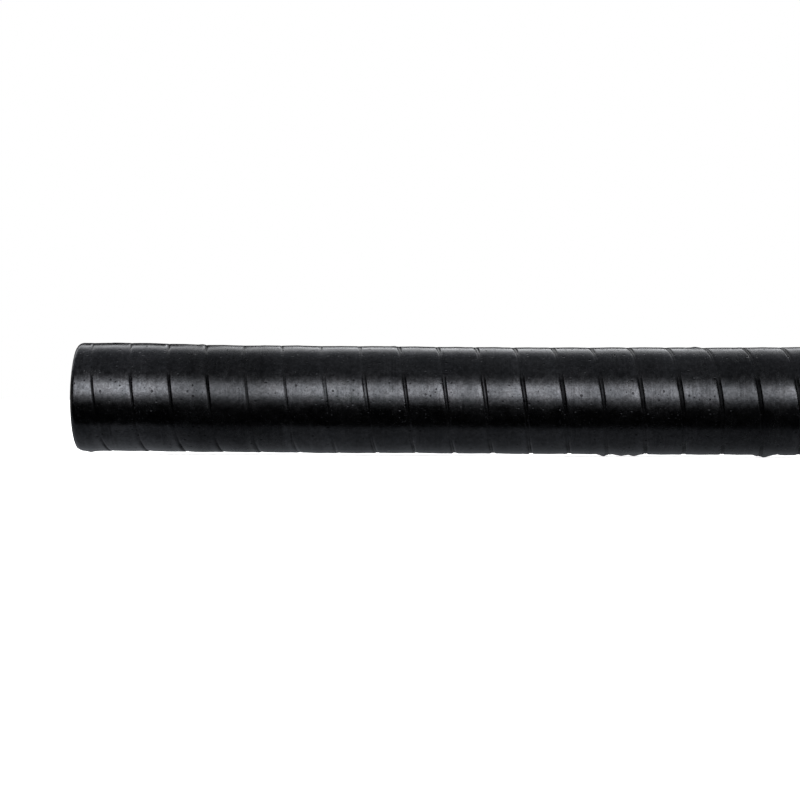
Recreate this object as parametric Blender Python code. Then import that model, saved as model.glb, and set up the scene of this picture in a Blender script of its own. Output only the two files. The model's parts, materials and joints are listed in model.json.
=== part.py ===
"""The straight centre baton of a devil stick: a hardwood dowel in a soft rubber sleeve, wound with
rubber tape to both ends, with a screwed-on rubber pad closing each end.

The stick lies along X, with its origin at its balance point, on the axis at half its length.
Units are metres and +Z is up. Every round piece is a regular polygon of SIDES sides about X, with
its flats at the stated radius and one of them facing straight down, so that the stick lies still.
"""

import math

import bmesh
import bpy

# The stick and its tape
STICK_LENGTH = 0.640
WRAP_RADIUS = 0.0133
TAPE_WIDTH = 0.019
LAP_PITCH = TAPE_WIDTH / 2  # each turn covers half of the one before
SEAM_WIDTH = 0.0013
SEAM_DEPTH = 0.0003
SEAM_FROM_LEFT_END = 0.0055  # where the first seam crosses the front of the stick, its -Y side
RIM_ROUNDING = 0.0012

# The layers, from the axis outwards
GAP = 0.0003  # clearance between pieces that touch
DOWEL_RADIUS = 0.0095
PADDING_THICKNESS = 0.0015
INNER_TAPE_THICKNESS = 0.0006
OUTER_TAPE_THICKNESS = 0.0008
END_SWELL = 0.0002  # how much the bindings raise the outer tape at the ends
BINDING_LENGTH = 0.024
SWELL_RUN = 0.004  # length over which the outer tape steps down from a binding

# The end fittings
PAD_THICKNESS = 0.006
PAD_EDGE = 0.0003
RECESS_RADIUS = 0.0055
RECESS_DEPTH = 0.004
WASHER_THICKNESS = 0.0009
WASHER_EDGE = 0.0001
SCREW_LENGTH = 0.025
SCREW_RADIUS = 0.002
SCREW_POINT = 0.0035
HEAD_RADIUS = 0.0038
HEAD_HEIGHT = 0.002
HEAD_SIDE = 0.0008  # upright part of the pan head, below its dome
CROSS_ARM = 0.0021
CROSS_HALF_WIDTH = 0.0004
CROSS_DEPTH = 0.0013
DOWEL_EDGE = 0.0005

SIDES = 20
DOME_STEPS = 4
RIM_STEPS = 3
MERGE = 1e-6
SHARP_ANGLE = math.radians(35)

# What follows from them
HALF_LENGTH = STICK_LENGTH / 2
PADDING_BORE = DOWEL_RADIUS + GAP
PADDING_RADIUS = PADDING_BORE + PADDING_THICKNESS
TAPE_BORE = PADDING_RADIUS + GAP
INNER_TAPE_RADIUS = TAPE_BORE + INNER_TAPE_THICKNESS
WRAP_BORE = WRAP_RADIUS - OUTER_TAPE_THICKNESS
BINDING_RADIUS = WRAP_BORE + END_SWELL - GAP
PAD_RADIUS = BINDING_RADIUS
CORE_HALF = HALF_LENGTH - PAD_THICKNESS - GAP
BINDING_START = CORE_HALF - BINDING_LENGTH
PILOT_RADIUS = SCREW_RADIUS + GAP
WASHER_RADIUS = RECESS_RADIUS - GAP
WASHER_BACK = -RECESS_DEPTH + GAP  # from the end face, as are the next two
HEAD_BACK = WASHER_BACK + WASHER_THICKNESS + GAP
SCREW_TIP = HEAD_BACK - SCREW_LENGTH
PILOT_BOTTOM = HALF_LENGTH + SCREW_TIP - GAP


def clear_scene():
    """Removes whatever the file holds, so that only the stick is left."""
    for old in list(bpy.data.objects):
        bpy.data.objects.remove(old, do_unlink=True)


def material(name, colour, roughness, metallic=0.0):
    """A Principled material with one colour and finish."""
    made = bpy.data.materials.new(name)
    made.use_nodes = True
    shader = made.node_tree.nodes["Principled BSDF"]
    shader.inputs["Base Color"].default_value = (*colour, 1.0)
    shader.inputs["Roughness"].default_value = roughness
    shader.inputs["Metallic"].default_value = metallic
    return made


def corner(x, radius, angle):
    """A polygon's corner at an angle about X, for a polygon whose flats lie at the radius."""
    reach = radius / math.cos(math.pi / SIDES)
    return (x, reach * math.cos(angle), reach * math.sin(angle))


def spin_profile(bm, profile, closed):
    """Spins (x, radius) points about X into a polygonal skin. A closed profile makes a tube."""
    points = [bm.verts.new(corner(x, radius, math.pi / SIDES)) for x, radius in profile]
    following = points[1:] + points[:1] if closed else points[1:]
    edges = [bm.edges.new(pair) for pair in zip(points, following)]
    bmesh.ops.spin(
        bm,
        geom=points + edges,
        cent=(0, 0, 0),
        axis=(1, 0, 0),
        angle=2 * math.pi,
        steps=SIDES,
        use_merge=True,
    )


def finished_mesh(name, bm):
    """Welds the skin, turns its faces outwards and shades its round sides smooth."""
    bmesh.ops.remove_doubles(bm, verts=bm.verts, dist=MERGE)
    bmesh.ops.recalc_face_normals(bm, faces=bm.faces)
    mesh = bpy.data.meshes.new(name)
    bm.to_mesh(mesh)
    bm.free()
    mesh.shade_smooth()
    mesh.set_sharp_from_angle(angle=SHARP_ANGLE)
    return mesh


def turned(name, profile, closed=False):
    """A turned piece. An open profile starts and ends on the axis, at radius 0."""
    bm = bmesh.new()
    spin_profile(bm, profile, closed)
    return finished_mesh(name, bm)


def tube(name, start, end, bore, radius):
    """A plain length of sleeve."""
    profile = [(start, bore), (start, radius), (end, radius), (end, bore)]
    return turned(name, profile, closed=True)


def place(name, mesh, finish, parent, location=(0, 0, 0), turn=0.0):
    """An object for one piece, turned about Z, under the stick's empty."""
    piece = bpy.data.objects.new(name, mesh)
    bpy.context.scene.collection.objects.link(piece)
    piece.parent = parent
    piece.location = location
    piece.rotation_euler = (0, 0, turn)
    if not mesh.materials:
        mesh.materials.append(finish)
    return piece


def dowel_mesh():
    """The core: a dowel with broken edges and a blind pilot hole in each end."""
    half = [
        (PILOT_BOTTOM, 0),
        (PILOT_BOTTOM, PILOT_RADIUS),
        (CORE_HALF, PILOT_RADIUS),
        (CORE_HALF, DOWEL_RADIUS - DOWEL_EDGE),
        (CORE_HALF - DOWEL_EDGE, DOWEL_RADIUS),
    ]
    return turned("core_dowel", [(-x, r) for x, r in half] + half[::-1])


def swell(x):
    """How far the outer tape stands up at x: full over the bindings, then a straight run down."""
    above = (abs(x) - (BINDING_START - SWELL_RUN)) / SWELL_RUN
    return END_SWELL * min(max(above, 0.0), 1.0)


def seam_x(angle, turn):
    """Where the middle of the seam lies along X, at an angle about X, on the turn stated."""
    along = turn + (angle - math.pi) / (2 * math.pi)
    return -HALF_LENGTH + SEAM_FROM_LEFT_END + LAP_PITCH * along


def seamed_skin(bm):
    """The outside of the tape: flat lands with the V of the seam running round between them."""
    reach = HALF_LENGTH - RIM_ROUNDING
    section = ((-SEAM_WIDTH / 2, 0), (0, SEAM_DEPTH), (SEAM_WIDTH / 2, 0))
    turns = math.ceil(STICK_LENGTH / LAP_PITCH) + 2
    columns = []
    for side in range(SIDES + 1):
        angle = 2 * math.pi * (side + 0.5) / SIDES
        column = []
        for turn in range(-2, turns):
            for offset, depth in section:
                wanted = seam_x(angle, turn) + offset
                x = min(max(wanted, -reach), reach)
                radius = WRAP_RADIUS + swell(x) - (depth if x == wanted else 0)
                column.append(bm.verts.new(corner(x, radius, angle)))
        columns.append(column)
    for left, right in zip(columns, columns[1:]):
        for step in range(len(left) - 1):
            four = (left[step], left[step + 1], right[step + 1], right[step])
            if len({point.co.x for point in four}) > 1:
                bm.faces.new(four)


def rim_profile():
    """The rounded rim at the +X end, from the outside of the tape round to its bore."""
    bore = WRAP_BORE + END_SWELL
    centre_x = HALF_LENGTH - RIM_ROUNDING
    centre_r = WRAP_RADIUS + END_SWELL - RIM_ROUNDING
    last = math.acos((bore - centre_r) / RIM_ROUNDING)
    points = []
    for step in range(RIM_STEPS + 1):
        angle = last * step / RIM_STEPS
        points.append((centre_x + RIM_ROUNDING * math.sin(angle), centre_r + RIM_ROUNDING * math.cos(angle)))
    return points


def outer_wrap_mesh():
    """The outer tape: the seamed skin, a rounded rim at each end, and the bore with its steps."""
    bm = bmesh.new()
    seamed_skin(bm)
    half = rim_profile() + [
        (BINDING_START, WRAP_BORE + END_SWELL),
        (BINDING_START - SWELL_RUN, WRAP_BORE),
    ]
    spin_profile(bm, half + [(-x, r) for x, r in half[::-1]], closed=False)
    return finished_mesh("outer_tape_wrap", bm)


def pad_mesh():
    """An end pad, its face at x = 0: a rubber disc with a recess for the washer and screw head."""
    profile = [
        (-PAD_THICKNESS, PILOT_RADIUS),
        (-PAD_THICKNESS, PAD_RADIUS),
        (-PAD_EDGE, PAD_RADIUS),
        (0, PAD_RADIUS - PAD_EDGE),
        (0, RECESS_RADIUS + PAD_EDGE),
        (-PAD_EDGE, RECESS_RADIUS),
        (-RECESS_DEPTH, RECESS_RADIUS),
        (-RECESS_DEPTH, PILOT_RADIUS),
    ]
    return turned("end_pad", profile, closed=True)


def washer_mesh():
    """A flat washer with broken edges, lying on the floor of the pad's recess."""
    front = WASHER_BACK + WASHER_THICKNESS
    profile = [
        (WASHER_BACK, PILOT_RADIUS),
        (WASHER_BACK, WASHER_RADIUS - WASHER_EDGE),
        (WASHER_BACK + WASHER_EDGE, WASHER_RADIUS),
        (front - WASHER_EDGE, WASHER_RADIUS),
        (front, WASHER_RADIUS - WASHER_EDGE),
        (front, PILOT_RADIUS),
    ]
    return turned("pad_washer", profile, closed=True)


def screw_mesh():
    """A pan-head wood screw, without its thread: point, shank and domed head."""
    dome = HEAD_HEIGHT - HEAD_SIDE
    profile = [
        (SCREW_TIP, 0),
        (SCREW_TIP + SCREW_POINT, SCREW_RADIUS),
        (HEAD_BACK, SCREW_RADIUS),
        (HEAD_BACK, HEAD_RADIUS),
    ]
    for step in range(DOME_STEPS + 1):
        angle = math.pi / 2 * step / DOME_STEPS
        profile.append((HEAD_BACK + HEAD_SIDE + dome * math.sin(angle), HEAD_RADIUS * math.cos(angle)))
    return turned("pad_screw", profile)


def cross_cutter_mesh():
    """The driver's cross: a plus-shaped outline, extruded through the top of the screw head."""
    arm, width = CROSS_ARM, CROSS_HALF_WIDTH
    quarter = [(arm, -width), (arm, width), (width, width)]
    top = HEAD_BACK + HEAD_HEIGHT
    bm = bmesh.new()
    outline = []
    for turn in range(4):
        angle = math.pi / 2 * turn
        for y, z in quarter:
            across = y * math.cos(angle) - z * math.sin(angle)
            up = y * math.sin(angle) + z * math.cos(angle)
            outline.append(bm.verts.new((top - CROSS_DEPTH, across, up)))
    floor = bm.faces.new(outline)
    grown = bmesh.ops.extrude_face_region(bm, geom=[floor])
    raised = [item for item in grown["geom"] if isinstance(item, bmesh.types.BMVert)]
    bmesh.ops.translate(bm, verts=raised, vec=(2 * CROSS_DEPTH, 0, 0))
    return finished_mesh("cross_cutter", bm)


def cut_cross(screw, cutter_mesh, parent):
    """Sinks the driver's cross into one screw's head."""
    cutter = bpy.data.objects.new(f"{screw.name}_cutter", cutter_mesh)
    bpy.context.scene.collection.objects.link(cutter)
    cutter.parent = parent
    cutter.location = screw.location
    cutter.rotation_euler = screw.rotation_euler
    cutter.hide_render = True
    cutter.display_type = "WIRE"
    cut = screw.modifiers.new("driver_cross", "BOOLEAN")
    cut.operation = "DIFFERENCE"
    cut.solver = "EXACT"
    cut.object = cutter


def build_core(stick):
    """The pieces that run the length of the stick, from the dowel outwards."""
    wood = material("dowel_wood", (0.60, 0.42, 0.24), 0.6)
    foam = material("padding_rubber", (0.05, 0.05, 0.05), 0.9)
    inner_tape = material("inner_tape_rubber", (0.02, 0.02, 0.022), 0.6)
    outer_tape = material("outer_tape_rubber", (0.012, 0.012, 0.014), 0.32)
    padding = tube("padding_sleeve", -CORE_HALF, CORE_HALF, PADDING_BORE, PADDING_RADIUS)
    inner_half = BINDING_START - GAP
    inner_wrap = tube("inner_tape_wrap", -inner_half, inner_half, TAPE_BORE, INNER_TAPE_RADIUS)
    place("core_dowel", dowel_mesh(), wood, stick)
    place("padding_sleeve", padding, foam, stick)
    place("inner_tape_wrap", inner_wrap, inner_tape, stick)
    place("outer_tape_wrap", outer_wrap_mesh(), outer_tape, stick)


def build_ends(stick):
    """The binding, pad, washer and screw of each end, drawn for +X and turned round for -X."""
    binding_tape = material("binding_tape_rubber", (0.02, 0.02, 0.022), 0.6)
    pad_rubber = material("end_pad_rubber", (0.015, 0.015, 0.016), 0.55)
    washer_steel = material("washer_steel", (0.55, 0.55, 0.56), 0.35, metallic=1.0)
    screw_steel = material("screw_steel", (0.5, 0.5, 0.52), 0.3, metallic=1.0)
    back = -PAD_THICKNESS - GAP
    binding = tube("end_binding", back - BINDING_LENGTH, back, TAPE_BORE, BINDING_RADIUS)
    pad = pad_mesh()
    washer = washer_mesh()
    screw = screw_mesh()
    cutter = cross_cutter_mesh()
    for side, end, turn in (("left", -HALF_LENGTH, math.pi), ("right", HALF_LENGTH, 0.0)):
        at = (end, 0, 0)
        place(f"end_binding_{side}", binding, binding_tape, stick, at, turn)
        place(f"end_pad_{side}", pad, pad_rubber, stick, at, turn)
        place(f"pad_washer_{side}", washer, washer_steel, stick, at, turn)
        fitted = place(f"pad_screw_{side}", screw, screw_steel, stick, at, turn)
        cut_cross(fitted, cutter, stick)


def build():
    """Clears the scene and builds the stick."""
    clear_scene()
    stick = bpy.data.objects.new("devil_stick", None)
    bpy.context.scene.collection.objects.link(stick)
    build_core(stick)
    build_ends(stick)


build()
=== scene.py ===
import json
import math

import bmesh
import bpy
import numpy as np
from mathutils import Matrix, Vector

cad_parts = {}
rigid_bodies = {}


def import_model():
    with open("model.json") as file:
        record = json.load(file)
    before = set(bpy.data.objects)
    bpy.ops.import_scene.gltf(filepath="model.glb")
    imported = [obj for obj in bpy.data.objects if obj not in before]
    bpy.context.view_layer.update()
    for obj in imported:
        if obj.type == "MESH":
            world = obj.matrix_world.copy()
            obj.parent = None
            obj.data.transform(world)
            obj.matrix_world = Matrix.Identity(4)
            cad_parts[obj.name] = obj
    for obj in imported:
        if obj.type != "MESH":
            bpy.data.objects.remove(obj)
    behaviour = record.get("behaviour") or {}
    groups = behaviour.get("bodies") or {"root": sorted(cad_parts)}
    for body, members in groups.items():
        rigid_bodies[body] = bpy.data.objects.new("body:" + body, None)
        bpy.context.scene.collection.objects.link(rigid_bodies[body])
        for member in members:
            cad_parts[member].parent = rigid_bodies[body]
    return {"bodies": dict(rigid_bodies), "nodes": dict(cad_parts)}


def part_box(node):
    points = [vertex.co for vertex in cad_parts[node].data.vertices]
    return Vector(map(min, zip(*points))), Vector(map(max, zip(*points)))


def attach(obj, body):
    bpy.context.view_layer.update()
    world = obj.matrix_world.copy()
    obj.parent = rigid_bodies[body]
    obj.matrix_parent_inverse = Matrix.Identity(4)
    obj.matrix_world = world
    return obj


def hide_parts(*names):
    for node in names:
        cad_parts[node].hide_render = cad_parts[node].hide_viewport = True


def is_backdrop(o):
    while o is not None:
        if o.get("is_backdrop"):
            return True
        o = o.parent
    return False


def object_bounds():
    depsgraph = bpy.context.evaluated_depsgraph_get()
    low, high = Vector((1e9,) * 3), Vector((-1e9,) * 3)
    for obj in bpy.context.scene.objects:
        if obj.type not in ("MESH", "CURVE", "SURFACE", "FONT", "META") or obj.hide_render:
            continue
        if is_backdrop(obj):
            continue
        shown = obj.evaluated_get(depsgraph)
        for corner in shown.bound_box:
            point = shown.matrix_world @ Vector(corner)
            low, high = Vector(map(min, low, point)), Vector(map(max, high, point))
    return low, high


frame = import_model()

CAD_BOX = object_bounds()
BODY = next(iter(frame["bodies"]))
MM = 0.001

# What the frame says. X runs along the stick and +Z is up.
HALF_LENGTH = CAD_BOX[1].x
END_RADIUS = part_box("outer_tape_wrap")[1].z
PAD_LOW, PAD_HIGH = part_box("end_pad_right")
WASHER_LOW, WASHER_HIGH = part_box("pad_washer_right")
SCREW_LOW, SCREW_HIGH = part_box("pad_screw_right")

# The tape, wound as a right-handed spiral. An angle of 0 faces the camera and 90 degrees is underneath.
LAP_PITCH = 9.5 * MM
FIRST_SEAM = 5.5 * MM  # from the left end to the first seam, on the side that faces the camera
END_SWELL = 0.2 * MM
SWELL_WHOLE = 14 * MM  # how far from each end the swelling over the end binding is whole
SWELL_GONE = 42 * MM
WRAP_RADIUS = END_RADIUS - END_SWELL
WRAP_BORE = WRAP_RADIUS - 0.8 * MM
BORE_MOUTH = 0.07 * MM  # how far inside each end the bore's mouth lies
BORE_WIDE_TO = 34 * MM  # how far from each end the bore is wide, over the end binding
BORE_NARROW_FROM = 38 * MM
RIM_ROUNDING = 1.2 * MM
RIM_TURN = math.radians(62)  # how far the skin's edge turns inward over the rim
SKIN_EXTRA = 0.05 * MM
BURIED_EDGES = (0.40, -0.30)  # where the layer below shows through, as a share of the pitch
COLUMNS = 48
WELD = 0.002 * MM  # points nearer than this are made one
SEED = 11

# The seam: a step near the left end, which opens further on into two creases side by side.
SEAM_OPENS_FROM = 46 * MM
SEAM_OPENS_BY = 88 * MM
SEAM_DEPTH = 0.18 * MM
OPEN_EXTRA_DEPTH = 0.10 * MM
CREASE_HALF = 0.52 * MM  # half of a crease's width
CREASES_APART = 0.30 * MM  # from the seam's middle to each of its two creases
LIP_SET_BACK = 0.35 * MM  # from a crease's edge to the top of the lip beside it
LEFT_LIP_HEIGHT = 0.08 * MM
RIGHT_LIP_HEIGHT = 0.05 * MM
BURIED_DEPTH = 0.05 * MM
CROWN = 0.03 * MM

# The end fittings.
GAP = 0.3 * MM
PAD_EDGE = 0.6 * MM
SHANK_RADIUS = 2.0 * MM
HEAD_HEIGHT = 2.0 * MM
POINT_LENGTH = 5.5 * MM
PLAIN_SHANK = 7 * MM
THREAD_PITCH = 1.8 * MM
THREAD_DEPTH = 0.5 * MM
CROSS_ARM = 2.1 * MM
CROSS_HALF = 0.4 * MM
CROSS_DEPTH = 1.3 * MM
CROSS_MOUTH = 1.06  # how wide the cross is at its mouth and at its floor, as shares
CROSS_FLOOR = 0.72
TURNED_SIDES = 72


def seam_x(angle):
    """Where the first seam's middle would lie along X, at an angle about the stick, in an even spiral."""
    return -HALF_LENGTH + FIRST_SEAM + LAP_PITCH * angle / (2 * math.pi)


def smooth(low, high, value):
    """0 before low, 1 past high, and an S-curve between them. It falls where low is the larger."""
    t = np.clip((value - low) / (high - low), 0.0, 1.0)
    return t * t * (3 - 2 * t)


def hump(distance, half_width):
    """1 at distance 0, falling smoothly to 0 at the half width and beyond."""
    return smooth(0.0, 1.0, 1.0 - np.abs(distance) / half_width)


def turned_from(angle, degrees):
    """How far an angle is turned from a direction given in degrees, up to half a turn either way."""
    return np.angle(np.exp(1j * (angle - math.radians(degrees))))


class AlongTape:
    """A value that wanders smoothly as one follows the tape round the stick. Each use has its own seed."""

    def __init__(self, seed, per_turn, low, high):
        turns = int(2 * HALF_LENGTH / LAP_PITCH) + 6
        self.knots = np.random.default_rng(SEED + seed).uniform(low, high, turns * per_turn)
        self.per_turn = per_turn

    def __call__(self, wound):
        place = np.clip((wound + 3) * self.per_turn, 0, len(self.knots) - 1.001)
        before = place.astype(int)
        share = smooth(0.0, 1.0, place - before)
        return self.knots[before] * (1 - share) + self.knots[before + 1] * share


def wander(along, seed, per_turn, most):
    """A value between minus and plus the most, which wanders along the tape."""
    return AlongTape(seed, per_turn, -most, most)(along)


def ripples(x, angle, seed, waves, shortest, longest, most_round, height):
    """A gentle unevenness of the whole skin: waves along and round the stick, with seeded phases."""
    draw = np.random.default_rng(SEED + seed)
    total = np.zeros_like(x)
    for _ in range(waves):
        length = draw.uniform(shortest, longest)
        lobes = draw.integers(0, most_round + 1)
        phase = draw.uniform(0, 2 * math.pi)
        total += np.sin(2 * math.pi * x / length + lobes * angle + phase)
    return total * height / math.sqrt(waves)


def drift(along):
    """How far the hand-wound tape strays from an even spiral, by turns wound."""
    pushed_on = 0.12 * MM + 0.18 * MM * (1 - smooth(2.0, 6.0, along))
    held_back = -0.70 * MM * hump(along - 4.5, 5)
    tilt = 0.20 * MM * (1 - np.cos(2 * math.pi * along))
    return pushed_on + held_back + tilt


def turns_wound(x, angle):
    """How many turns lie between the first seam and a place on the skin, across the tape."""
    wound = (x - seam_x(angle)) / LAP_PITCH
    # The drift depends on the turns wound, so the two are worked out in rounds.
    for _ in range(4):
        wound = (x - seam_x(angle) - drift(np.round(wound) + angle / (2 * math.pi))) / LAP_PITCH
    return wound


# Lumps under and on the tape: distance from the left end, angle, half length, half width in degrees, height.
LUMPS = (
    (3.0 * MM, 92, 1.4 * MM, 14, 0.30 * MM),
    (30.6 * MM, -88, 1.2 * MM, 9, 0.14 * MM),
    (78.6 * MM, -87, 1.3 * MM, 9, 0.12 * MM),
    (130.9 * MM, 92, 2.3 * MM, 13, 0.55 * MM),
    (134.9 * MM, 89, 2.4 * MM, 12, 0.46 * MM),
    (138.3 * MM, 93, 2.0 * MM, 13, 0.50 * MM),
    (153.4 * MM, -90, 1.8 * MM, 10, 0.20 * MM),
    (164.7 * MM, -86, 1.0 * MM, 8, 0.18 * MM),
    (170.4 * MM, 90, 2.8 * MM, 11, 0.62 * MM),
    (174.0 * MM, 90, 1.1 * MM, 14, -0.50 * MM),
    (178.0 * MM, -90, 26 * MM, 40, 0.22 * MM),
    (105.0 * MM, -90, 40 * MM, 45, -0.16 * MM),
)


# How open the seams have stayed, round the stick: degrees from the camera's side, and share.
OPEN_SHARE = (
    (-180, 0.6),
    (-130, 0.9),
    (-95, 1.0),
    (-66, 1.0),
    (-54, 0.3),
    (-44, 0.0),
    (-30, 0.1),
    (-21, 1.0),
    (4, 1.0),
    (18, 0.40),
    (30, 0.05),
    (49, 0.1),
    (60, 0.8),
    (95, 0.8),
    (140, 0.6),
    (180, 0.6),
)


def open_share(angle):
    """How far the tape's edges have stayed open, 1, or fused flat, 0, at an angle about the stick."""
    degrees, shares = zip(*OPEN_SHARE)
    return np.interp((np.degrees(angle) + 180) % 360 - 180, degrees, shares)


def seam_shape(from_end, angle, along, across):
    """How far the seam sinks the skin, that as a share of its depth, its painted shade (less gloss in the
    crease), and its half width.
    """
    # It gapes along the third turn, and is narrower at the first seam and about 85 mm from the end.
    opened = smooth(SEAM_OPENS_FROM, SEAM_OPENS_BY, from_end + wander(along, 1, 3, 12 * MM))
    gaping = hump(along - 2.5, 1.3)
    apart = opened * (CREASES_APART + wander(along, 2, 5, 0.04 * MM))
    crease = CREASE_HALF + 0.12 * MM * gaping - 0.06 * MM * opened + wander(along, 3, 7, 0.06 * MM)
    crease -= 0.10 * MM * hump(from_end - 85 * MM, 42 * MM)
    crease -= 0.12 * MM * (1 - smooth(0.3, 0.8, along))

    # It is more fused about 58 mm from the end, shallow along the top, and a little so underneath.
    unfused = np.clip(open_share(angle) + wander(along, 12, 3, 0.12), 0.02, 1)
    unfused *= 1 - 0.40 * hump(from_end - 58 * MM, 34 * MM)
    depth = SEAM_DEPTH + OPEN_EXTRA_DEPTH * np.maximum(opened, gaping) + wander(along, 4, 4, 0.04 * MM)
    depth *= 0.15 + 0.85 * unfused
    depth *= 1 - hump(np.cos(angle), 0.40) * np.where(np.sin(angle) < 0, 0.75, 0.2)

    # Each crease has a rounded section, with painted shade (less gloss) in it. Between the two creases the
    # skin is part sunk and part painted shade.
    up_wall = np.clip(np.abs(np.abs(across) - apart) / crease, 0, 1)
    sunk = 1 - np.sin(up_wall * math.pi / 2)
    painted_shade = 1 - smooth(0.30, 1.0, up_wall)
    amid = np.abs(across) < apart
    least_painted_shade = 0.32 + 0.34 * smooth(98 * MM, 118 * MM, from_end)
    sunk = np.where(amid, 0.6 + 0.4 * sunk, sunk)
    painted_shade = np.where(amid, least_painted_shade + (1 - least_painted_shade) * painted_shade, painted_shade)
    past = smooth(-0.1 * MM, 0.1 * MM, across)
    step_down = 0.3 * depth * (1 - opened) * past * hump(across, 2.0 * MM)
    return depth * sunk + step_down, sunk, painted_shade * unfused, apart + crease


def lips(angle, along, across, seam_half):
    """The lips that the stretched tape raises left and right of the seam, and a rubbed strip, 0 to 1."""
    # They are pressed nearly flat along the top.
    pressed = 1 - 0.85 * hump(np.cos(angle), 0.75) * (np.sin(angle) < 0)
    beside = seam_half + LIP_SET_BACK
    left = np.clip(AlongTape(5, 9, 0.0, 1.2)(along), 0.1, 1) * hump(across + beside, 0.9 * MM) * pressed
    right = np.clip(AlongTape(6, 9, -0.8, 1.0)(along), 0, 1) * hump(across - beside, 0.6 * MM) * pressed
    rubbed = np.clip(AlongTape(11, 2, 0.1, 0.8)(along), 0, 1) * hump(across + beside + 0.4 * MM, 1.9 * MM)
    return left, right, rubbed


def buried_edges(from_end, along, across):
    """How far the edges buried one layer down raise the skin, and the painted shade (less gloss) in their
    faint creases.
    """
    raised, painted_shade = 0.0, 0.0
    for seed, share in zip((7, 8), BURIED_EDGES):
        showing = np.maximum(AlongTape(seed, 2, -1.0, 1.0)(along), 0) * smooth(44 * MM, 62 * MM, from_end)
        past_edge = across - share * LAP_PITCH
        crease = showing * hump(past_edge, 0.35 * MM)
        raised += 0.03 * MM * showing * hump(past_edge - 0.6 * MM, 0.7 * MM) - BURIED_DEPTH * crease
        painted_shade = np.maximum(painted_shade, 0.4 * crease)
    return raised, painted_shade


def unevenness(x, angle):
    """The skin's gentle waves, its lumps, and its last edge crumpled where it turns over the rims."""
    total = ripples(x, angle, 21, 10, 14 * MM, 60 * MM, 3, 0.035 * MM)
    total += ripples(x, angle, 22, 14, 3 * MM, 9 * MM, 9, 0.010 * MM)
    for place, degrees, half_length, half_width, height in LUMPS:
        lengthwise = hump(x + HALF_LENGTH - place, half_length)
        total += height * lengthwise * hump(turned_from(angle, degrees), math.radians(half_width))
    crumpled = smooth(HALF_LENGTH - 3.0 * MM, HALF_LENGTH - 0.8 * MM, np.abs(x))
    return total + crumpled * ripples(x, angle, 23, 14, 1.5 * MM, 5 * MM, 26, 0.045 * MM)


def skin_shape(x, angle):
    """The finished skin's radius, its painted shade (0 to 1), and how much it shines."""
    from_end = x + HALF_LENGTH
    wound = turns_wound(x, angle)
    turn = np.round(wound)
    across = (wound - turn) * LAP_PITCH
    along = turn + angle / (2 * math.pi)
    sinking, sunk, seam_painted_shade, seam_half = seam_shape(from_end, angle, along, across)
    left_lip, right_lip, rubbed = lips(angle, along, across, seam_half)
    raised, buried_crease_shade = buried_edges(from_end, along, across)

    # The bound ends stand proud, mostly on top, and each turn is wound tighter or looser than the last.
    bound = smooth(HALF_LENGTH - SWELL_GONE, HALF_LENGTH - SWELL_WHOLE, np.abs(x))
    radius = WRAP_RADIUS + SKIN_EXTRA + END_SWELL * bound * (0.7 - 1.7 * np.sin(angle))
    radius += raised - sinking + LEFT_LIP_HEIGHT * left_lip + RIGHT_LIP_HEIGHT * right_lip
    radius += wander(along, 9, 2, 0.04 * MM) * (1 - sunk)
    radius += CROWN * np.cos(2 * math.pi * (wound - turn + 0.5)) + unevenness(x, angle)

    # Painted shade: less gloss in the cracks, and along the top of the first turns, which darkens the top
    # edge there.
    painted_top_shade = smooth(36 * MM, 26 * MM, from_end) * smooth(0.27, 0.19, np.abs(turned_from(angle, -90)))
    painted_shade = np.maximum(np.maximum(seam_painted_shade, buried_crease_shade), 0.8 * painted_top_shade)
    shine = polish(from_end, along) * (1 + 0.35 * left_lip + 0.40 * rubbed + 0.15 * right_lip)
    return radius, painted_shade, shine


# How much hands have polished the skin: distance from the left end, and shine. The last holds further on.
POLISH = (
    (0 * MM, 1.40),
    (9 * MM, 1.45),
    (12 * MM, 1.72),
    (17 * MM, 1.68),
    (21 * MM, 1.08),
    (25 * MM, 0.80),
    (31 * MM, 0.60),
    (46 * MM, 0.66),
    (54 * MM, 1.02),
    (66 * MM, 1.20),
    (84 * MM, 1.10),
    (96 * MM, 1.06),
    (106 * MM, 1.18),
    (122 * MM, 1.08),
    (142 * MM, 1.02),
    (154 * MM, 0.92),
    (167 * MM, 0.62),
    (176 * MM, 0.92),
    (190 * MM, 1.05),
)


def polish(from_end, along):
    """How strongly the skin shines at a distance from the left end, which wanders a little by turns."""
    places, levels = zip(*POLISH)
    return np.interp(from_end, places, levels) + AlongTape(10, 1, -0.12, 0.12)(along)


def on_stick(x, radius, angle):
    """A point at an angle about the stick: 0 faces the camera and 90 degrees is underneath."""
    return np.stack([x, -radius * np.cos(angle), -radius * np.sin(angle)], axis=-1)


def mesh_object(name, points, faces, material):
    """A smooth-shaded mesh object made of numbered points and faces."""
    mesh = bpy.data.meshes.new(name)
    mesh.from_pydata([tuple(p) for p in points], [], faces)
    mesh.validate()
    made = bpy.data.objects.new(name, mesh)
    bpy.context.scene.collection.objects.link(made)
    mesh.materials.append(material)
    mesh.shade_smooth()
    return made


def across_steps():
    """Where the skin's points lie between one seam and the next, close together at the seam."""
    near = (0.10, 0.20, 0.30, 0.40, 0.52, 0.68, 0.90, 1.3, 2.0)  # millimetres from a seam
    steps = [0.0, 5.2 * MM]
    for distance in near:
        steps += [distance * MM, LAP_PITCH - distance * MM]
    for share in BURIED_EDGES:
        steps += [share % 1 * LAP_PITCH + side * 0.33 * MM for side in (-1, 0, 1)]
    return sorted(steps)


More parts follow.
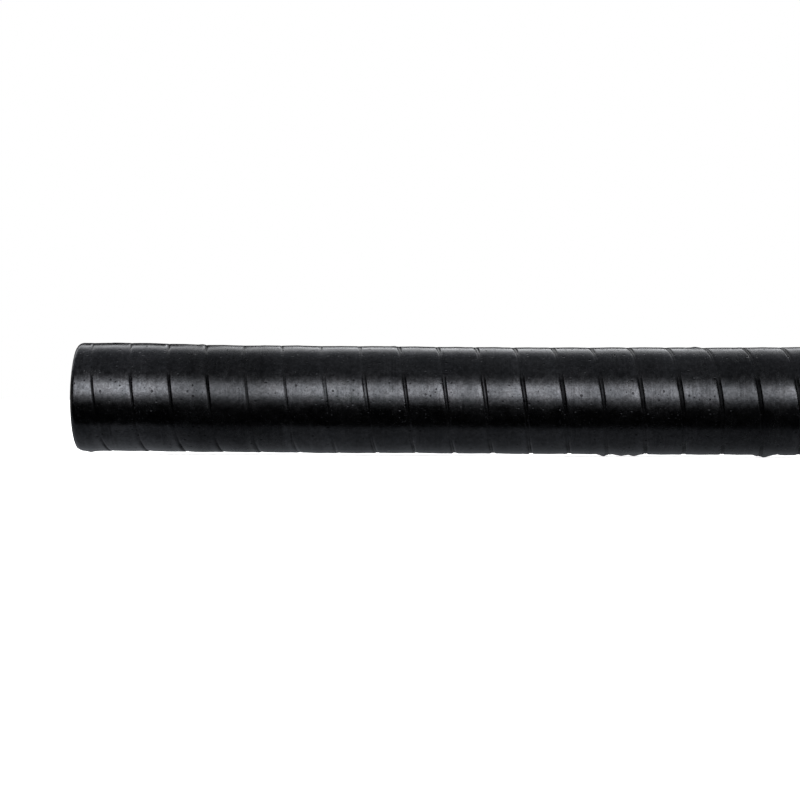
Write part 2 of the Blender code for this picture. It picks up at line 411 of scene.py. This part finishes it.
def build_skin(material):
    """The outer tape: a spiral grid whose rows follow the seams, closed by two rims and a bore."""
    reach = HALF_LENGTH - RIM_ROUNDING
    steps = np.array(across_steps())
    turns = np.arange(-2, int(2 * HALF_LENGTH / LAP_PITCH) + 3)
    offsets = (turns[:, None] * LAP_PITCH + steps[None, :]).ravel()
    angles = np.arange(COLUMNS + 1) * 2 * math.pi / COLUMNS
    angle, offset = np.meshgrid(angles, offsets, indexing="ij")
    strayed = drift(np.round(offset / LAP_PITCH) + angle / (2 * math.pi))
    x = np.clip(seam_x(angle) + offset + strayed, -reach, reach)
    skin = on_stick(x, skin_shape(x, angle)[0], angle)

    # The rims and the bore, as rings from one end of the skin round through the bore to the other.
    rim = []
    for share in np.linspace(0, 1, 6):
        turned = share * RIM_TURN
        rim.append((reach + RIM_ROUNDING * math.sin(turned), -RIM_ROUNDING * (1 - math.cos(turned))))
    bore = [(HALF_LENGTH - BORE_MOUTH, WRAP_BORE + END_SWELL)]
    bore.append((HALF_LENGTH - BORE_WIDE_TO, WRAP_BORE + END_SWELL))
    bore.append((HALF_LENGTH - BORE_NARROW_FROM, WRAP_BORE))
    rings = []
    for side in (1, -1):
        half = []
        for place, drop in rim:
            edge = np.full(COLUMNS + 1, side * place)
            half.append(on_stick(edge, skin_shape(edge, angles)[0] + drop, angles))
        for place, radius in bore:
            edge = np.full(COLUMNS + 1, side * place)
            half.append(on_stick(edge, np.full(COLUMNS + 1, radius), angles))
        rings += half if side == 1 else half[::-1]
    inside = np.stack(rings, axis=1)

    bm = bmesh.new()
    for block in (skin, inside):
        rows = [[bm.verts.new(p) for p in column] for column in block.tolist()]
        for left, right in zip(rows, rows[1:]):
            for k in range(len(left) - 1):
                corners = (left[k], left[k + 1], right[k + 1], right[k])
                if len({c.co.x for c in corners}) > 1 or block is inside:
                    bm.faces.new(corners)
    bmesh.ops.remove_doubles(bm, verts=bm.verts, dist=WELD)
    loose = [v for v in bm.verts if not v.link_faces]
    bmesh.ops.delete(bm, geom=loose, context="VERTS")
    bmesh.ops.recalc_face_normals(bm, faces=bm.faces)
    mesh = bpy.data.meshes.new("tape_skin")
    bm.to_mesh(mesh)
    bm.free()
    mesh.shade_smooth()
    mesh.materials.append(material)
    made = bpy.data.objects.new("tape_skin", mesh)
    bpy.context.scene.collection.objects.link(made)
    note_shade_and_shine(mesh)
    return made


def note_shade_and_shine(mesh):
    """Stores at each point its painted shade, and how much it shines."""
    points = np.zeros(len(mesh.vertices) * 3)
    mesh.vertices.foreach_get("co", points)
    x, y, z = points.reshape(-1, 3).T
    levels = skin_shape(x, np.arctan2(-z, -y) % (2 * math.pi))[1:]
    for name, level in zip(("painted_shade", "shine"), levels):
        attribute = mesh.attributes.new(name, "FLOAT", "POINT")
        attribute.data.foreach_set("value", level.astype(np.float32))


class Nodes:
    """Builds a tree of nodes: each call adds a node, sets its values and joins its inputs."""

    def __init__(self, tree):
        self.tree = tree

    def add(self, kind, settings=None, **inputs):
        """A node. An input is named as on the node, or _0, _1 and so on by its place."""
        node = self.tree.nodes.new(kind)
        for key, value in (settings or {}).items():
            setattr(node, key, value)
        for key, value in inputs.items():
            self.put(node.inputs[int(key[1:]) if key[0] == "_" else key], value)
        return node

    def put(self, socket, value):
        if isinstance(value, bpy.types.NodeSocket):
            self.tree.links.new(value, socket)
        else:
            socket.default_value = value

    def maths(self, operation, first, second=0.5, third=0.5):
        settings = {"operation": operation}
        return self.add("ShaderNodeMath", settings, _0=first, _1=second, _2=third).outputs[0]

    def stretched(self, place, scales):
        return self.add("ShaderNodeVectorMath", {"operation": "MULTIPLY"}, _0=place, _1=scales).outputs[0]

    def moved(self, place, distance):
        step = (distance,) * 3
        return self.add("ShaderNodeVectorMath", {"operation": "ADD"}, _0=place, _1=step).outputs[0]

    def noise(self, place, scale, detail=2.0, roughness=0.5):
        settings = {"Scale": scale, "Detail": detail, "Roughness": roughness}
        return self.add("ShaderNodeTexNoise", Vector=place, **settings).outputs["Fac"]

    def ranged(self, value, low, high, to_low=0.0, to_high=1.0, kind="SMOOTHSTEP"):
        settings = {"interpolation_type": kind}
        limits = {"_1": low, "_2": high, "_3": to_low, "_4": to_high}
        return self.add("ShaderNodeMapRange", settings, _0=value, **limits).outputs[0]

    def pits(self, place, scale, largest):
        """0 in scattered round pits, the scale being in cells per millimetre, and 1 elsewhere."""
        cells = self.add("ShaderNodeTexVoronoi", {"feature": "F1"}, Vector=place, Scale=scale).outputs
        chance = self.add("ShaderNodeSeparateColor", _0=cells["Color"]).outputs[0]
        size = self.ranged(chance, 0.4, 1.0, 0.0, largest, "LINEAR")
        return self.ranged(self.maths("SUBTRACT", cells["Distance"], size), -0.05, 0.05, 0.0, 1.0)

    def mixed(self, share, first, second):
        node = self.add("ShaderNodeMix", {"data_type": "RGBA"}, _0=share)
        self.put(node.inputs[6], first)
        self.put(node.inputs[7], second)
        return node.outputs[2]

    def bump(self, height, distance, strength, below=None):
        node = self.add("ShaderNodeBump", Height=height, Strength=strength, Distance=distance)
        if below is not None:
            self.put(node.inputs["Normal"], below)
        return node.outputs[0]


class MaterialNodes(Nodes):
    """Builds one material, by the nodes that lead to its Principled shader."""

    def __init__(self, name):
        self.material = bpy.data.materials.new(name)
        self.material.use_nodes = True
        super().__init__(self.material.node_tree)
        self.shader = self.tree.nodes["Principled BSDF"]

    def set(self, **inputs):
        for key, value in inputs.items():
            self.put(self.shader.inputs[key.replace("_", " ")], value)

    def millimetres(self):
        """The object's own coordinates, in millimetres."""
        place = self.add("ShaderNodeTexCoord").outputs["Object"]
        return self.add("ShaderNodeVectorMath", {"operation": "SCALE"}, _0=place, Scale=1000.0).outputs[0]


def tape_material():
    """Black self-fusing rubber tape: satin, unevenly rubbed, finely pitted, with painted shade (less gloss)
    in its cracks.
    """
    n = MaterialNodes("outer_tape")
    mm = n.millimetres()
    painted_shade = n.add("ShaderNodeAttribute", {"attribute_name": "painted_shade"}).outputs["Fac"]
    shine = n.add("ShaderNodeAttribute", {"attribute_name": "shine"}).outputs["Fac"]
    blotch = n.noise(mm, 0.16, 3.0, 0.6)
    mottle = n.noise(mm, 0.9, 4.0, 0.62)
    grain = n.noise(mm, 2.6, 2.0, 0.7)
    tint = n.noise(n.moved(mm, 40.0), 0.22, 3.0, 0.6)
    crepe = n.noise(n.stretched(mm, (2.4, 0.06, 0.06)), 1.0, 2.0, 0.6)
    crepe = n.ranged(crepe, 0.36, 0.64, -1.0, 1.0, "LINEAR")
    crepe = n.maths("MULTIPLY_ADD", crepe, n.ranged(blotch, 0.42, 0.62, 0.0, 0.20), 1.0)
    pits = n.maths("MULTIPLY", n.pits(mm, 0.8, 0.24), n.pits(mm, 1.7, 0.16))

    rough = n.ranged(shine, 0.6, 1.5, 0.25, 0.20)
    rough = n.maths("ADD", rough, n.ranged(blotch, 0.35, 0.65, -0.03, 0.03))
    rough = n.maths("ADD", rough, n.ranged(mottle, 0.3, 0.75, -0.02, 0.03))
    rough = n.maths("ADD", rough, n.maths("MULTIPLY", painted_shade, 0.05))
    colour = n.mixed(blotch, (0.0001, 0.0001, 0.0001, 1), (0.0002, 0.0002, 0.0003, 1))

    gloss = n.ranged(tint, 0.35, 0.65, 0.47, 0.585)
    gloss = n.maths("MULTIPLY", gloss, n.ranged(shine, 0.6, 1.7, 0.70, 1.45, "LINEAR"))
    gloss = n.maths("MULTIPLY", gloss, n.ranged(grain, 0.34, 0.62, 0.72, 1.14))
    gloss = n.maths("MULTIPLY", gloss, n.ranged(mottle, 0.38, 0.60, 0.80, 1.16))
    gloss = n.maths("MULTIPLY", gloss, crepe)
    gloss = n.maths("MULTIPLY", gloss, n.ranged(pits, 0.0, 1.0, 0.35, 1.0))
    # Painted shade: the gloss falls in the cracks, and along the top of the first turns.
    gloss = n.maths("MULTIPLY", gloss, n.ranged(painted_shade, 0.15, 0.9, 1.0, 0.12, "LINEAR"))

    bump = n.bump(mottle, 0.032 * MM, 0.5)
    bump = n.bump(grain, 0.011 * MM, 0.6, bump)
    bump = n.bump(pits, 0.05 * MM, 0.8, bump)
    n.set(Base_Color=colour, Roughness=rough, Normal=bump, IOR=1.5, Specular_IOR_Level=gloss)
    n.set(Specular_Tint=n.mixed(tint, (0.88, 0.93, 1.0, 1), (1.0, 0.97, 1.0, 1)))
    return n.material


def rubber_material(name, dark, light, roughness, grain_scale):
    """A plain black rubber with an even moulded grain."""
    n = MaterialNodes(name)
    mm = n.millimetres()
    blotch = n.noise(mm, 0.4, 3.0)
    grain = n.noise(mm, grain_scale, 2.0)
    bump = n.bump(grain, 0.02 * MM, 0.6)
    rough = n.ranged(blotch, 0.3, 0.7, roughness - 0.06, roughness + 0.06)
    n.set(Base_Color=n.mixed(blotch, dark, light), Roughness=rough, Normal=bump)
    return n.material


def pad_material():
    """The end pads' moulded rubber, greyed and scuffed where it meets the ground."""
    n = MaterialNodes("end_pad_rubber")
    mm = n.millimetres()
    blotch = n.noise(mm, 0.35, 4.0, 0.6)
    grain = n.noise(mm, 3.2, 2.0, 0.6)
    scratches = n.noise(n.stretched(mm, (1, 3.0, 0.35)), 1.1, 3.0)
    x, y, z = n.add("ShaderNodeSeparateXYZ", _0=mm).outputs
    from_face = n.maths("SUBTRACT", HALF_LENGTH / MM, n.maths("ABSOLUTE", x))
    out = n.maths("SQRT", n.maths("ADD", n.maths("MULTIPLY", y, y), n.maths("MULTIPLY", z, z)))
    scuffed = n.ranged(out, 6.0, 11.5, 0.15, 0.9)
    scuffed = n.maths("MULTIPLY", scuffed, n.ranged(blotch, 0.38, 0.70, 0.1, 1.0))
    scuffed = n.maths("MULTIPLY", scuffed, n.ranged(from_face, 0.05, 0.5, 1.0, 0.2))
    scuffed = n.maths("MULTIPLY", scuffed, n.ranged(scratches, 0.35, 0.65, 0.45, 1.0))
    colour = n.mixed(scuffed, (0.012, 0.012, 0.013, 1), (0.046, 0.044, 0.041, 1))
    rough = n.ranged(scuffed, 0.0, 1.0, 0.52, 0.85)
    bump = n.bump(grain, 0.03 * MM, 0.5)
    bump = n.bump(scratches, 0.03 * MM, 0.4, bump)
    n.set(Base_Color=colour, Roughness=rough, Normal=bump)
    return n.material


def wood_material(name):
    """Bare beech, its grain running along the stick."""
    n = MaterialNodes(name)
    mm = n.millimetres()
    grain = n.noise(n.stretched(mm, (0.04, 1.0, 1.0)), 0.9, 5.0, 0.6)
    colour = n.mixed(grain, (0.42, 0.27, 0.14, 1), (0.68, 0.49, 0.30, 1))
    rough = n.ranged(grain, 0.3, 0.7, 0.5, 0.68)
    n.set(Base_Color=colour, Roughness=rough, Normal=n.bump(grain, 0.05 * MM, 0.4))
    return n.material


def steel_material(name, roughness):
    """Zinc-plated steel, faintly clouded and scratched."""
    n = MaterialNodes(name)
    mm = n.millimetres()
    cloud = n.noise(mm, 0.5, 3.0)
    scratches = n.noise(mm, 7.0, 2.0)
    colour = n.mixed(cloud, (0.42, 0.42, 0.43, 1), (0.62, 0.62, 0.61, 1))
    rough = n.ranged(cloud, 0.3, 0.7, roughness - 0.07, roughness + 0.07)
    n.set(Base_Color=colour, Roughness=rough, Metallic=1.0, Normal=n.bump(scratches, 0.004 * MM, 0.5))
    return n.material


def arc(middle, radius, first, last, points=5):
    """Points of a section's rounded corner, between two angles in degrees from the X direction."""
    turned = np.radians(np.linspace(first, last, points))
    return [(middle[0] + radius * math.cos(t), middle[1] + radius * math.sin(t)) for t in turned]


def turned_piece(name, section, side, material, thread=None):
    """A body turned about X from a closed section of (distance from the end face, radius) pairs."""
    angles = np.arange(TURNED_SIDES) * 2 * math.pi / TURNED_SIDES
    points = []
    for place, radius in section:
        wanted = np.full(TURNED_SIDES, radius)
        if thread is not None:
            wanted = wanted + thread(place, angles)
        points += on_stick(np.full(TURNED_SIDES, side * (HALF_LENGTH + place)), wanted, angles).tolist()
    faces = []
    rings = len(section)
    for ring in range(rings):
        following = (ring + 1) % rings
        if section[ring][1] == section[following][1] == 0:
            continue
        for k in range(TURNED_SIDES):
            a, b = ring * TURNED_SIDES, following * TURNED_SIDES
            beside = (k + 1) % TURNED_SIDES
            faces.append((a + k, a + beside, b + beside, b + k))
    made = mesh_object(name, points, faces, material)
    bm = bmesh.new()
    bm.from_mesh(made.data)
    bmesh.ops.remove_doubles(bm, verts=bm.verts, dist=WELD)
    bmesh.ops.recalc_face_normals(bm, faces=bm.faces)
    bm.to_mesh(made.data)
    bm.free()
    made.data.shade_smooth()
    made.data.set_sharp_from_angle(angle=math.radians(40))
    return made


def pad_section():
    """The rubber pad: a disc with a soft outer edge, drawn in a little round its sunk middle."""
    back, outer = PAD_LOW.x - HALF_LENGTH, PAD_HIGH.z
    recess, floor = WASHER_HIGH.z + GAP, WASHER_LOW.x - HALF_LENGTH - GAP
    section = [(back, SHANK_RADIUS + GAP), (back, outer)]
    section += arc((-PAD_EDGE, outer - PAD_EDGE), PAD_EDGE, 90, 0)
    section += [(0, 10.4 * MM), (-0.02 * MM, 9.0 * MM), (-0.10 * MM, 7.6 * MM), (-0.24 * MM, 6.6 * MM)]
    section += arc((-0.3 * MM - PAD_EDGE, recess + PAD_EDGE), PAD_EDGE, 0, -90)
    section += arc((floor + 0.2 * MM, recess - 0.2 * MM), 0.2 * MM, 90, 180, 4)
    return section + [(floor, SHANK_RADIUS + GAP)]


def washer_section():
    """The washer: a flat stamped ring whose outer edges are rolled over."""
    low, high = WASHER_LOW.x - HALF_LENGTH, WASHER_HIGH.x - HALF_LENGTH
    outer, edge = WASHER_HIGH.z, 0.2 * MM
    section = [(low, SHANK_RADIUS + GAP), (low, outer - edge)]
    section += arc((low + edge, outer - edge), edge, 180, 90)[1:]
    section += arc((high - edge, outer - edge), edge, 90, 0)
    return section + [(high, SHANK_RADIUS + GAP + edge), (high - edge, SHANK_RADIUS + GAP)]


def screw_section():
    """The pan-head wood screw, from the middle of its head down to its point."""
    top, tip, rim = SCREW_HIGH.x - HALF_LENGTH, SCREW_LOW.x - HALF_LENGTH, SCREW_HIGH.z
    under = top - HEAD_HEIGHT
    section = [(top, 0.0), (top - 0.02 * MM, 1.0 * MM), (top - 0.10 * MM, 2.0 * MM)]
    section += arc((top - 1.25 * MM, rim - 1.0 * MM), 1.0 * MM, 0, 90, 7)
    section += [(under + 0.1 * MM, rim), (under, rim - 0.1 * MM), (under, SHANK_RADIUS)]
    length = under - tip
    for share in np.linspace(0.02, 0.999, 96):
        place = under - share * length
        left = (1 - share) * length
        section.append((place, SHANK_RADIUS * min(1.0, 0.06 + left / POINT_LENGTH)))
    return section + [(tip, 0.0)]


def screw_thread(place, angles):
    """How far the thread's root lies inside its crest, which has the shank's radius."""
    start = SCREW_HIGH.x - HALF_LENGTH - HEAD_HEIGHT - PLAIN_SHANK
    cut = smooth(start, start - 1.5 * MM, place)
    cut *= smooth(SCREW_LOW.x - HALF_LENGTH, start, place) ** 0.2
    turns = place / THREAD_PITCH + angles / (2 * math.pi)
    from_crest = np.abs(turns - np.round(turns)) * 2
    return -THREAD_DEPTH * cut * smooth(0.15, 0.75, from_crest)


def cut_cross(screw, side):
    """Cuts the cross recess for the screwdriver into the head."""
    outline = []
    for quarter in range(4):
        turned = quarter * math.pi / 2
        for along, over in ((CROSS_ARM, -CROSS_HALF), (CROSS_ARM, CROSS_HALF), (CROSS_HALF, CROSS_HALF)):
            y = along * math.cos(turned) - over * math.sin(turned)
            z = along * math.sin(turned) + over * math.cos(turned)
            outline.append((y, z))
    middle = SCREW_HIGH.x
    points = [(side * (middle + 0.2 * MM), y * CROSS_MOUTH, z * CROSS_MOUTH) for y, z in outline]
    points += [(side * (middle - CROSS_DEPTH), y * CROSS_FLOOR, z * CROSS_FLOOR) for y, z in outline]
    count = len(outline)
    faces = [tuple(range(count)), tuple(range(2 * count - 1, count - 1, -1))]
    faces += [(k, k + count, (k + 1) % count + count, (k + 1) % count) for k in range(count)]
    cutter = mesh_object("cross_cutter", points, faces, screw.data.materials[0])
    bm = bmesh.new()
    bm.from_mesh(cutter.data)
    bmesh.ops.recalc_face_normals(bm, faces=bm.faces)
    bm.to_mesh(cutter.data)
    bm.free()
    recess = screw.modifiers.new("recess", "BOOLEAN")
    recess.operation = "DIFFERENCE"
    recess.object = cutter
    bpy.context.view_layer.update()
    cut = bpy.data.meshes.new_from_object(screw.evaluated_get(bpy.context.evaluated_depsgraph_get()))
    screw.modifiers.clear()
    screw.data = cut
    cut.shade_smooth()
    cut.set_sharp_from_angle(angle=math.radians(35))
    bpy.data.objects.remove(cutter)


def build_fittings():
    """The pad, washer and screw that close each end."""
    rubber = pad_material()
    washer_steel = steel_material("washer_steel", 0.36)
    screw_steel = steel_material("screw_steel", 0.30)
    for end, side in (("left", -1), ("right", 1)):
        pad = turned_piece("end_pad_rubber_" + end, pad_section(), side, rubber)
        washer = turned_piece("washer_ring_" + end, washer_section(), side, washer_steel)
        screw = turned_piece("pan_head_screw_" + end, screw_section(), side, screw_steel, screw_thread)
        cut_cross(screw, side)
        for piece, node, slot in (
            (pad, "end_pad_", "end_pad_rubber"),
            (washer, "pad_washer_", "washer_steel"),
            (screw, "pad_screw_", "screw_steel"),
        ):
            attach(piece, BODY)
            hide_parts(node + end)


def finish_cad_nodes():
    """Gives the CAD nodes that stay, all of them under the tape, their own finish."""
    wood = wood_material("dowel_wood")
    padding = rubber_material("padding_rubber", (0.03, 0.03, 0.03, 1), (0.06, 0.06, 0.06, 1), 0.85, 1.5)
    inner = rubber_material("inner_tape", (0.012, 0.012, 0.013, 1), (0.02, 0.02, 0.022, 1), 0.6, 3.0)
    finishes = {"core_dowel": wood, "padding_sleeve": padding, "inner_tape_wrap": inner}
    finishes.update({"end_binding_left": inner, "end_binding_right": inner})
    for name, material in finishes.items():
        for place in frame["nodes"][name].material_slots:
            place.material = material


# The room as the stick mirrors it, on the side it faces and towards each end: pairs of degrees above
# the camera's line of sight, going over the top to the back, and level.
ROOM_FRONT = (
    (-180, 0.02),
    (-170, 0.10),
    (-155, 0.24),
    (-64, 0.25),
    (-59, 0.0),
    (12, 0.0),
    (42, 0.06),
    (60, 0.22),
    (100, 0.25),
    (112, 0.33),
    (122, 0.56),
    (132, 1.25),
    (140, 1.7),
    (146, 3.2),
    (149, 3.2),
    (152, 0.1),
    (157, 0.0),
)
ROOM_LEFT = (
    (-180, 0.2),
    (-140, 0.36),
    (-110, 0.34),
    (-85, 0.24),
    (-64, 0.24),
    (-59, 0.0),
    (42, 0.0),
    (60, 0.21),
    (100, 0.24),
    (112, 0.32),
    (122, 0.60),
    (132, 1.45),
    (138, 2.5),
    (141, 2.5),
    (143.5, 0.0),
    (180, 0.0),
)
ROOM_RIGHT = ((-180, 0.15), (-62, 0.16), (-55, 0.0), (40, 0.0), (60, 0.22), (120, 0.25), (160, 0.1))
ROOM_MOST = 3.2
ROOM_TINT = (0.87, 0.92, 1.0)
END_FILL = 0.25
AMBIENT = 1.15
FLOOR_HALF = 12.0

# How far along X a reflection points where one side of the room passes into the next.
LEFT_BLEND = (0.07, 0.12)
RIGHT_BLEND = (0.05, 0.70)
END_BLEND = (0.86, 0.97)

# The softboxes. Their places are along X, and degrees above the camera's side about the stick. The
# key's layers lie at different distances, since of two lights in one plane a mirrored ray meets just one.
LIGHT_WIDTH = 1.1
LIGHT_COLOUR = (0.95, 0.97, 1.0)
KEY_PLACE = -0.21
KEY_DEGREES = 19.0
KEY_LAYERS = ((0.90, 0.36, 3.1), (0.93, 0.62, 1.35), (0.96, 1.05, 0.45))  # distance, height, radiance
SIDE_PLACE = 0.95
SIDE_DEGREES = (19.0, 150.0)
SIDE_SHAPE = (0.90, 0.44, 4.4)  # distance, height, radiance


class WorldNodes(Nodes):
    """Builds the world that lights the scene."""

    def __init__(self):
        world = bpy.data.worlds.new("studio")
        bpy.context.scene.world = world
        world.use_nodes = True
        world.node_tree.nodes.clear()
        super().__init__(world.node_tree)

    def ramp(self, share, stops):
        """The room's levels round the stick, the dimmer ones tinted more."""
        node = self.add("ShaderNodeValToRGB", Fac=share)
        elements = node.color_ramp.elements
        elements.remove(elements[-1])
        for k, (degrees, level) in enumerate(stops):
            position = (degrees + 180) / 360
            element = elements[0] if k == 0 else elements.new(position)
            element.position = position
            tinted = np.interp(level, (0.3, 0.9), (1.0, 0.3))
            element.color = [level / ROOM_MOST * (1 - tinted * (1 - part)) for part in ROOM_TINT] + [1]
        return node.outputs[0]

    def background(self, colour, strength):
        return self.add("ShaderNodeBackground", Color=colour, Strength=strength).outputs[0]

    def where(self, ray, otherwise, then):
        """One shader for a kind of ray, and another for the rest."""
        return self.add("ShaderNodeMixShader", _0=ray, _1=otherwise, _2=then).outputs[0]


def build_world():
    """White to the camera, an even light on matt things, and a soft dark-to-light room in reflections."""
    n = WorldNodes()
    place = n.add("ShaderNodeTexCoord").outputs["Generated"]
    x, y, z = n.add("ShaderNodeSeparateXYZ", _0=place).outputs
    left = n.maths("MULTIPLY", x, -1.0)
    front = n.maths("MULTIPLY", y, -1.0)
    sideways = n.maths("ABSOLUTE", x)
    share = n.ranged(n.maths("ARCTAN2", z, front), -math.pi, math.pi, kind="LINEAR")
    room = n.mixed(n.ranged(left, *LEFT_BLEND), n.ramp(share, ROOM_FRONT), n.ramp(share, ROOM_LEFT))
    room = n.mixed(n.ranged(x, *RIGHT_BLEND), room, n.ramp(share, ROOM_RIGHT))
    room = n.mixed(n.ranged(sideways, *END_BLEND), room, (END_FILL / ROOM_MOST,) * 3 + (1,))
    rays = n.add("ShaderNodeLightPath").outputs
    even = n.background((1, 1, 1, 1), AMBIENT)
    lighting = n.where(rays["Is Glossy Ray"], even, n.background(room, ROOM_MOST))
    seen = n.where(rays["Is Camera Ray"], lighting, n.background((1, 1, 1, 1), 1.0))
    n.add("ShaderNodeOutputWorld", Surface=seen)


def area_light(name, place, degrees, distance, height, radiance):
    """A softbox on a circle about X, turned towards the stick."""
    data = bpy.data.lights.new(name, "AREA")
    data.shape = "RECTANGLE"
    data.size = LIGHT_WIDTH
    data.size_y = height
    data.color = LIGHT_COLOUR
    data.energy = radiance * math.pi * LIGHT_WIDTH * height
    light = bpy.data.objects.new(name, data)
    bpy.context.scene.collection.objects.link(light)
    angle = math.radians(degrees)
    up, out = math.sin(angle), math.cos(angle)
    rotation = Matrix(((1, 0, 0), (0, up, -out), (0, out, up)))
    middle = (place, -distance * out, distance * up)
    light.matrix_world = Matrix.Translation(middle) @ rotation.to_4x4()
    light.visible_camera = False


def build_lights():
    """The key softbox, in layers that make it brightest in its middle, and two at the right."""
    for layer in KEY_LAYERS:
        area_light("key", KEY_PLACE, KEY_DEGREES, *layer)
    for degrees in SIDE_DEGREES:
        area_light("side", SIDE_PLACE, degrees, *SIDE_SHAPE)


def build_floor(low):
    """A plain pale floor under the stick, left out of reflections."""
    n = MaterialNodes("floor_paper")
    fleck = n.noise(n.millimetres(), 0.02, 2.0)
    n.set(Base_Color=n.mixed(fleck, (0.88, 0.88, 0.88, 1), (0.90, 0.90, 0.90, 1)), Roughness=0.9)
    n.set(Specular_IOR_Level=0.0, Emission_Color=(1, 1, 1, 1), Emission_Strength=0.75)
    corners = [(x * FLOOR_HALF, y * FLOOR_HALF, low) for x, y in ((-1, -1), (1, -1), (1, 1), (-1, 1))]
    floor = mesh_object("floor", corners, [(0, 1, 2, 3)], n.material)
    floor.visible_glossy = False
    floor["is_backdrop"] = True


# The camera looks square at the stick, level, near its left end.
VIEW_DISTANCE = 0.423
VIEW_WIDTH = 0.1995  # what the picture spans at the stick's axis
VIEW_FROM_END = 79.93 * MM
VIEW_BELOW = 0.07 * MM
VIEW_ROLL = math.radians(0.29)


def build_camera():
    """The camera of the photograph's view."""
    data = bpy.data.cameras.new("camera")
    data.sensor_width = 36.0
    data.lens = data.sensor_width * VIEW_DISTANCE / VIEW_WIDTH
    data.clip_start = 0.01
    data.clip_end = 100.0
    camera = bpy.data.objects.new("camera", data)
    bpy.context.scene.collection.objects.link(camera)
    bpy.context.scene.camera = camera
    right = (math.cos(VIEW_ROLL), 0.0, math.sin(VIEW_ROLL))
    up = (-math.sin(VIEW_ROLL), 0.0, math.cos(VIEW_ROLL))
    axes = Matrix((right, up, (0.0, -1.0, 0.0))).transposed()
    place = (-HALF_LENGTH + VIEW_FROM_END, -VIEW_DISTANCE, -VIEW_BELOW)
    camera.matrix_world = Matrix.Translation(place) @ axes.to_4x4()


build_camera()
skin = build_skin(tape_material())
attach(skin, BODY)
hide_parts("outer_tape_wrap")
build_fittings()
finish_cad_nodes()
build_world()
build_lights()
build_floor(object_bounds()[0].z)
bpy.context.scene.view_settings.view_transform = "Standard"
bpy.context.scene.view_settings.look = "None"
